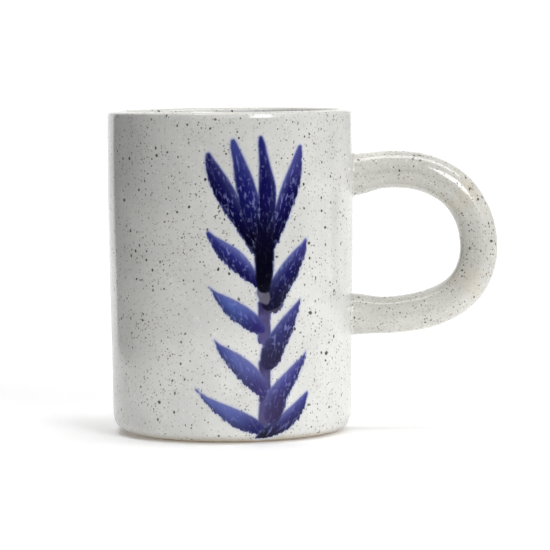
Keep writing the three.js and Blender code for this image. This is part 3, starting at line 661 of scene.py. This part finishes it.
CELL = 0.30
MARGIN = 1.15
S0, S1, V0, V1 = -13.2, 27.6, -0.6, 97.2
gs = np.arange(S0, S1 + CELL, CELL)
gv = np.arange(V0, V1 + CELL, CELL)
GS, GV = np.meshgrid(gs, gv)
shape = GS.shape
rng = np.random.default_rng(7)
wave = sum(a * np.sin(kx * GS + kv * GV + p) for a, kx, kv, p in (
    (0.10, 1.3, 0.9, 0.4), (0.08, -0.9, 1.7, 2.1), (0.06, 2.6, -2.2, 1.0), (0.05, 3.4, 3.1, 4.0)))
sd = np.full(shape, -9.0)
colour = np.zeros(shape + (3,))
colour[:] = BLUE
grain = np.zeros(shape + (3,))
glint = np.zeros(shape)
seam = np.zeros(shape)
for n_stroke, stroke in enumerate(STROKES):
    pts, length = spline(stroke["w"], 90)
    best, t_at, side = np.full(shape, -9.0), np.zeros(shape), np.zeros(shape)
    near = np.full(shape, 1e9)
    tang = np.gradient(pts[:, :2], axis=0)
    tang /= np.linalg.norm(tang, axis=1)[:, None]
    for i, (ps, pv, pr) in enumerate(pts):
        ds, dv = GS - ps, GV - pv
        dist = np.hypot(ds, dv)
        val = pr - dist
        best = np.maximum(best, val)
        closer = dist < near
        near = np.where(closer, dist, near)
        t_at = np.where(closer, i / (len(pts) - 1), t_at)
        side = np.where(closer, (ds * -tang[i, 1] + dv * tang[i, 0]) / max(pr, 0.3), side)
    c0, c1, c2 = (np.array(c) for c in stroke["c"])
    t3 = t_at[..., None]
    k1 = np.clip(t3 / 0.45, 0, 1)
    k2 = np.clip((t3 - 0.45) / 0.5, 0, 1)
    k1, k2 = k1 * k1 * (3 - 2 * k1), k2 * k2 * (3 - 2 * k2)
    col = (c0 * (1 - k1) + c1 * k1) * (1 - k2) + c2 * k2
    # pigment pools toward the lower side, and is thin at the upper one and along the very edge
    gy, gx = np.gradient(best, CELL)
    up_side = np.clip((-gx * -0.35 + -gy * 0.94), -1, 1)
    upper = np.clip(side, -1, 1) * np.sign(pts[-1, 0] - pts[0, 0]) * stroke.get("u", 0.0)
    body_t = 0.35 + 0.65 * np.sin(math.pi * np.clip(t_at, 0, 1) ** 0.8)
    high = np.clip((upper - 0.05) / 0.95, 0, 1) ** 1.3 * body_t
    low = np.clip((-upper + 0.10) / 0.95, 0, 1)
    low = low * low * (3 - 2 * low)
    col = col * (1 - 0.62 * low * body_t)[..., None] * np.array((1.0, 0.96, 1.0))
    col = col + (np.array((0.200, 0.235, 0.560)) - col) * (0.62 * high)[..., None] * np.clip(col[..., 2:] / 0.14, 0.22, 1)
    soft_rim = np.clip(1 - (best - 0.05) / 0.65, 0, 1) * np.clip(up_side, 0, 1)
    col = col + (np.array((0.16, 0.19, 0.48)) - col) * (0.38 * soft_rim * np.clip(stroke.get("u", 0.0), 0, 1))[..., None]
    cover = np.clip((best + 0.05 + 0.6 * wave) / 0.50, 0, 1)
    cover = cover * cover * (3 - 2 * cover) * stroke["o"]
    was = sd > 0.3
    colour = colour * (1 - cover[..., None]) + col * cover[..., None]
    # outside every stroke so far, the halo takes the colour of the nearest one
    take = (best > sd) & (sd < 0)
    colour = np.where(take[..., None] & (cover[..., None] < 0.05), np.clip(col, 0.02, 1), colour)
    over = (cover > 0.5) | take
    # the glaze ran as it melted, so streaks lie between the stroke's direction and straight down
    run = (pts[-1, :2] - pts[0, :2]) / np.linalg.norm(pts[-1, :2] - pts[0, :2]) + np.array((0.0, -0.9))
    run /= np.linalg.norm(run)
    grain[..., 0] = np.where(over, GS * run[0] + GV * run[1], grain[..., 0])
    grain[..., 1] = np.where(over, GS * -run[1] + GV * run[0], grain[..., 1])
    grain[..., 2] = np.where(over, n_stroke * 3.7, grain[..., 2])
    fade = 1 - 0.65 * np.clip((t_at - 0.68) / 0.25, 0, 1) * (stroke["g"] > 0.85)
    glint = np.where(over, stroke["g"] * fade, glint)
    sd = np.maximum(sd, best)
gy, gx = np.gradient(sd, CELL)
g = np.hypot(gx, gy) + 1e-6
# outward direction is down the slope; the brush drags dry at the lower and right edges
serrate = np.clip(0.30 + 1.15 * gy / g - 0.15 * gx / g, 0.10, 1.0)

field = sd + MARGIN
nv, ns = shape
index = {}
verts2, src = [], []


def corner(i, j):
    key = (i, j)
    if key not in index:
        index[key] = len(verts2)
        verts2.append((gs[j], gv[i]))
        src.append((i, j, i, j, 0.0))
    return index[key]


def crossing(i0, j0, i1, j1):
    key = (i0, j0, i1, j1) if (i0, j0) < (i1, j1) else (i1, j1, i0, j0)
    if key not in index:
        a, b, c, e = key
        fa, fb = field[a, b], field[c, e]
        t = float(np.clip(fa / (fa - fb), 0.08, 0.92))
        index[key] = len(verts2)
        verts2.append((gs[b] + (gs[e] - gs[b]) * t, gv[a] + (gv[c] - gv[a]) * t))
        src.append((a, b, c, e, t))
    return index[key]


inside = (field > 0) & (GV > V0 + 0.5 * CELL)
polys = []
for i in range(nv - 1):
    row = inside[i, :-1] | inside[i, 1:] | inside[i + 1, :-1] | inside[i + 1, 1:]
    for j in np.nonzero(row)[0]:
        ring = [(i, j), (i, j + 1), (i + 1, j + 1), (i + 1, j)]
        flags = [bool(inside[q]) for q in ring]
        if all(flags):
            polys.append([corner(*q) for q in ring])
            continue
        if flags in ([True, False, True, False], [False, True, False, True]):
            for k in range(4):
                if flags[k]:
                    polys.append([corner(*ring[k]), crossing(*ring[k], *ring[(k + 1) % 4]), crossing(*ring[k], *ring[k - 1])])
            continue
        poly = []
        for k in range(4):
            a, b = ring[k], ring[(k + 1) % 4]
            if flags[k]:
                poly.append(corner(*a))
            if flags[k] != flags[(k + 1) % 4]:
                poly.append(crossing(*a, *b))
        if len(poly) >= 3:
            polys.append(poly)
verts2 = np.array(verts2)
src = np.array(src)
ia, ja, ib, jb = (src[:, k].astype(int) for k in range(4))
tt = src[:, 4]


def sample(f):
    a, b = f[ia, ja], f[ib, jb]
    t = tt if f.ndim == 2 else tt[:, None]
    return a + (b - a) * t


v_sd = np.minimum(sample(sd), 9)
s_, v_ = verts2[:, 0], verts2[:, 1]
turn = s_ / along(WALL, np.maximum(v_, HEEL_R))
# The film thins to nothing at its edge, where it dips just below the glaze; the paint itself stands a little proud.
rise = np.clip((v_sd + MARGIN) / 0.5, 0, 1)
body = np.clip((v_sd + 0.15) / 0.6, 0, 1)
lift = -0.012 + 0.030 * rise * rise * (3 - 2 * rise) + 0.030 * body * body * (3 - 2 * body)
r_t, z_t = wall_surface(turn, v_, lift)
r_b, z_b = wall_surface(turn, v_, np.full_like(lift, -0.10))
topv = np.stack([r_t * np.sin(turn), -r_t * np.cos(turn), z_t], -1)
botv = np.stack([r_b * np.sin(turn), -r_b * np.cos(turn), z_b], -1)
n_top = len(topv)
faces, uvs = [], []
UVS = 0.98 / (V1 - V0)
flat_uv = np.column_stack([(s_ - S0) * UVS + 0.01, (v_ - V0) * UVS + 0.01])
back_uv = np.column_stack([(s_ - S0) * UVS * 0.2 + 0.80, (v_ - V0) * UVS * 0.2 + 0.01])
edges = {}
for p in polys:
    faces.append(p)
    uvs.extend(flat_uv[q] for q in p)
    for k in range(len(p)):
        a, b = p[k], p[(k + 1) % len(p)]
        if (b, a) in edges:
            del edges[(b, a)]
        else:
            edges[(a, b)] = True
for p in polys:
    q = [n_top + x for x in p[::-1]]
    faces.append(q)
    uvs.extend(back_uv[x - n_top] for x in q)
for a, b in edges:
    faces.append([b, a, n_top + a, n_top + b])
    uvs.extend([back_uv[b], back_uv[a], back_uv[a] + 0.001, back_uv[b] + 0.001])
sprig = make("painted_sprig_film", np.concatenate([topv, botv]), faces, True, 75)
uv_map(sprig, np.array(uvs))


def attribute(o, name, kind, values):
    at = o.data.attributes.new(name, kind, "POINT")
    key = {"FLOAT": "value", "FLOAT_VECTOR": "vector", "FLOAT_COLOR": "color"}[kind]
    at.data.foreach_set(key, np.ascontiguousarray(values, np.float32).ravel())


both = lambda v: np.concatenate([v, v])
attribute(sprig, "paint_depth", "FLOAT", both(v_sd))
attribute(sprig, "paint_edge", "FLOAT", both(sample(serrate)))
attribute(sprig, "paint_glint", "FLOAT", both(sample(glint)))
attribute(sprig, "paint_grain", "FLOAT_VECTOR", both(sample(grain)))
attribute(sprig, "paint_colour", "FLOAT_COLOR", both(np.column_stack([np.clip(sample(colour), 0, 1), np.ones(n_top)])))


def cobalt_material(name):
    m, n, bsdf = new_material(name)
    glaze, rough, height, pos = glaze_look(n, 0.0, False, 1.4)
    get = lambda a: n.add("ShaderNodeAttribute", attribute_name=a, attribute_type="GEOMETRY")
    depth = get("paint_depth").outputs["Fac"]
    edge = get("paint_edge").outputs["Fac"]
    glint = get("paint_glint").outputs["Fac"]
    stroke = get("paint_grain").outputs["Vector"]
    pigment = get("paint_colour").outputs["Color"]
    # ragged edge, coarser where the brush dragged dry
    rag = n.math("SUBTRACT", n.noise(pos, 1150.0, 2.0, 0.6), 0.5)
    rag2 = n.math("SUBTRACT", n.noise(pos, 430.0, 3.0, 0.6), 0.5)
    sepp = n.add("ShaderNodeSeparateXYZ")
    n.put(sepp.inputs[0], pos)
    down = n.add("ShaderNodeCombineXYZ")
    n.put(down.inputs[0], n.math("MULTIPLY", sepp.outputs[0], 1450.0))
    n.put(down.inputs[1], n.math("MULTIPLY", sepp.outputs[1], 300.0))
    n.put(down.inputs[2], n.math("MULTIPLY", sepp.outputs[2], 380.0))
    teeth = n.math("SUBTRACT", n.noise(down.outputs[0], 1.0, 1.5, 0.5), 0.5)
    ragged = n.math("MULTIPLY", n.math("ADD", n.math("MULTIPLY", rag, 0.9), n.math("MULTIPLY_ADD", teeth, 1.9, n.math("MULTIPLY", rag2, 0.5))), edge)
    level = n.math("ADD", depth, ragged)
    cover = n.ramp(level, n.math("MULTIPLY_ADD", edge, 0.22, -0.34), n.math("MULTIPLY_ADD", edge, -0.30, 0.48))
    halo = n.ramp(n.math("ADD", depth, n.math("MULTIPLY", rag2, 0.9)), -1.05, 0.15)
    # streaks and small bare flecks along the stroke
    sep = n.add("ShaderNodeSeparateXYZ")
    n.put(sep.inputs[0], stroke)
    comb = n.add("ShaderNodeCombineXYZ")
    n.put(comb.inputs[0], n.math("MULTIPLY", sep.outputs[0], 0.36))
    n.put(comb.inputs[1], n.math("MULTIPLY", sep.outputs[1], 1.05))
    n.put(comb.inputs[2], sep.outputs[2])
    streak = n.noise(comb.outputs[0], 1.15, 1.2, 0.5)
    # the flecks come in patches, where the brush ran short of pigment
    patch = n.noise(comb.outputs[0], 0.33, 2.0, 0.5, 0.36, 0.62)
    fleck = n.math("MULTIPLY", n.math("MULTIPLY", n.ramp(streak, 0.54, 0.72), glint), n.math("MULTIPLY_ADD", patch, 0.75, 0.25))
    pool = n.noise(comb.outputs[0], 0.55, 3.0, 0.6, 0.30, 0.72)
    dots = n.math("MULTIPLY", n.noise(pos, 760.0, 1.0, 0.5, 0.60, 0.76), glint)
    tone = n.mix(n.math("MULTIPLY", pool, 0.30), pigment, n.mix(1.0, pigment, rgb(0.50, 0.46, 0.60), "MULTIPLY"))
    light = n.mix(0.25, rgb(0.25, 0.27, 0.62), pigment)
    tone = n.mix(n.math("MULTIPLY", fleck, 0.72), tone, light)
    tone = n.mix(n.math("MULTIPLY", dots, 0.26), tone, rgb(0.30, 0.33, 0.66))
    thin = n.ramp(level, 0.10, 0.8, 0.30, 0.0)
    tone = n.mix(n.math("MULTIPLY", thin, n.math("MULTIPLY_ADD", edge, -0.6, 1.0)), tone, rgb(0.13, 0.15, 0.42))
    stained = n.mix(n.math("MULTIPLY", halo, 0.50), glaze, rgb(0.60, 0.66, 0.96), "MULTIPLY")
    colour = n.mix(cover, stained, tone)
    n.put(bsdf.inputs["Base Color"], colour)
    n.put(bsdf.inputs["Roughness"], n.math("ADD", rough, n.math("MULTIPLY", cover, 0.02)))
    relief = n.math("ADD", height, n.math("MULTIPLY", n.math("MULTIPLY", streak, cover), 0.002))
    n.put(bsdf.inputs["Normal"], bump(n, relief))
    bsdf.inputs["IOR"].default_value = 1.52
    bsdf.inputs["Specular IOR Level"].default_value = 0.2
    return m


finish_piece(sprig, cobalt_material("brushed_cobalt"), "cobalt", "painted_sprig")

# ------------------------------------------------------------------ floor
FLOOR_GLOW = 0.18
fm, n, bsdf = new_material("pale_floor")
pos = n.add("ShaderNodeTexCoord").outputs["Object"]
paper = n.mix(n.noise(pos, 9.0, 3.0, 0.5), rgb(0.90, 0.90, 0.90), rgb(0.92, 0.92, 0.92))
n.put(bsdf.inputs["Base Color"], paper)
bsdf.inputs["Roughness"].default_value = 0.8
bsdf.inputs["Specular IOR Level"].default_value = 0.15
bsdf.inputs["Emission Color"].default_value = (1.0, 1.0, 1.0, 1.0)
bsdf.inputs["Emission Strength"].default_value = FLOOR_GLOW
# A lit white table: it ends a hand's breadth to the left and in front, and runs well past the view elsewhere.
NF = 8
fx, fy = np.linspace(-220, 2200, NF + 1), np.linspace(-300, 2800, NF + 1)
fv = [(fx[i], fy[j], 0.0) for j in range(NF + 1) for i in range(NF + 1)]
ff = [(j * (NF + 1) + i, j * (NF + 1) + i + 1, (j + 1) * (NF + 1) + i + 1, (j + 1) * (NF + 1) + i) for j in range(NF) for i in range(NF)]
floor = make("studio_floor", fv, ff, False)
floor.data.materials.append(fm)

# ------------------------------------------------------------------ studio light, all of it in the world
world = bpy.data.worlds.new("studio")
bpy.context.scene.world = world
world.use_nodes = True
world.node_tree.nodes.clear()
n = Nodes(world.node_tree)
out = n.add("ShaderNodeOutputWorld")
direction = n.add("ShaderNodeTexCoord").outputs["Generated"]
sep = n.add("ShaderNodeSeparateXYZ")
n.put(sep.inputs[0], direction)
dx, dy, dz = sep.outputs
azimuth = n.math("ARCTAN2", dx, n.math("MULTIPLY", dy, -1.0))  # 0 is the camera's side, positive to its right
azimuth = n.math("MULTIPLY", azimuth, 180 / math.pi)
elevation = n.math("MULTIPLY", n.math("ARCSINE", dz), 180 / math.pi)


def window(x, a, b, soft_a, soft_b):
    """1 from a to b, falling to 0 over soft_a below and soft_b above."""
    return n.math("MULTIPLY", n.ramp(x, a - soft_a, a), n.ramp(x, b, b + soft_b, 1.0, 0.0))


def box(az, el, soft=(2.0, 2.0, 2.0, 2.0), power=1.0):
    w = n.math("MULTIPLY", window(azimuth, az[0], az[1], soft[0], soft[1]), window(elevation, el[0], el[1], soft[2], soft[3]))
    return n.math("MULTIPLY", w, power)


# softbox overhead: a band along X
ox = n.math("DIVIDE", dx, n.math("MAXIMUM", dz, 0.01))
oy = n.math("DIVIDE", dy, n.math("MAXIMUM", dz, 0.01))
over = n.math("MULTIPLY", window(ox, -0.42, 0.90, 0.06, 0.06), window(oy, -0.17, 0.17, 0.03, 0.03))
over = n.math("MULTIPLY", over, n.math("GREATER_THAN", dz, 0.05))
LIGHTS = [
    box((22, 42), (18, 38), (2, 2, 2, 2)),  # key softbox to the right of the camera
    box((38, 58), (14, 34), (4, 4, 4, 4)),  # a weaker one beside it
    box((132, 180), (-12, 60), (22, 1, 6, 25)),  # bright backdrop, right of the middle
    box((162, 180), (-12, 30), (10, 1, 6, 20)),  # brightest straight behind
    box((-180, -142), (-12, 60), (1, 4, 6, 25)),  # and left of it, up to a dark card
    over,
    n.ramp(elevation, 35.0, 75.0),  # ceiling
    box((-12, 10), (8, 45), (6, 6, 6, 8)),  # weak fill above the camera
]
POWER = [10.2, 1.8, 0.54, 0.75, 1.35, 4.7, 0.05, 0.65]
total = n.math("MULTIPLY", LIGHTS[0], POWER[0])
for l, p in zip(LIGHTS[1:], POWER[1:]):
    total = n.math("MULTIPLY_ADD", l, p, total)
bg = n.add("ShaderNodeBackground")
n.put(bg.inputs["Color"], rgb(1, 1, 1))
n.put(bg.inputs["Strength"], total)
white = n.add("ShaderNodeBackground")
n.put(white.inputs["Color"], rgb(1, 1, 1))
n.put(white.inputs["Strength"], 1.15)
path = n.add("ShaderNodeLightPath")
mixs = n.add("ShaderNodeMixShader")
n.put(mixs.inputs[0], path.outputs["Is Camera Ray"])
world.node_tree.links.new(bg.outputs[0], mixs.inputs[1])
world.node_tree.links.new(white.outputs[0], mixs.inputs[2])
world.node_tree.links.new(mixs.outputs[0], out.inputs["Surface"])
bpy.context.scene.view_settings.view_transform = "Standard"

# ------------------------------------------------------------------ camera
cam = bpy.data.cameras.new("camera")
cam.sensor_width = 36.0
cam.sensor_fit = "HORIZONTAL"
cam.lens = 199.394
cam.clip_start = 0.02
cam.clip_end = 50.0
cam.dof.use_dof = False
cam_o = bpy.data.objects.new("camera", cam)
bpy.context.scene.collection.objects.link(cam_o)
yaw, pitch, roll_a = 0.014376, 0.074236, -0.009763
fwd = Vector((math.sin(yaw), math.cos(yaw), 0))
right = Vector((math.cos(yaw), -math.sin(yaw), 0))
upv = Vector((0, 0, 1))
fwd, upv = fwd * math.cos(pitch) - upv * math.sin(pitch), upv * math.cos(pitch) + fwd * math.sin(pitch)
right, upv = right * math.cos(roll_a) + upv * math.sin(roll_a), upv * math.cos(roll_a) - right * math.sin(roll_a)
m = Matrix((right, upv, -fwd)).transposed().to_4x4()
m.translation = Vector((0, -0.975858, 0.122418))
cam_o.matrix_world = m
bpy.context.scene.camera = cam_o
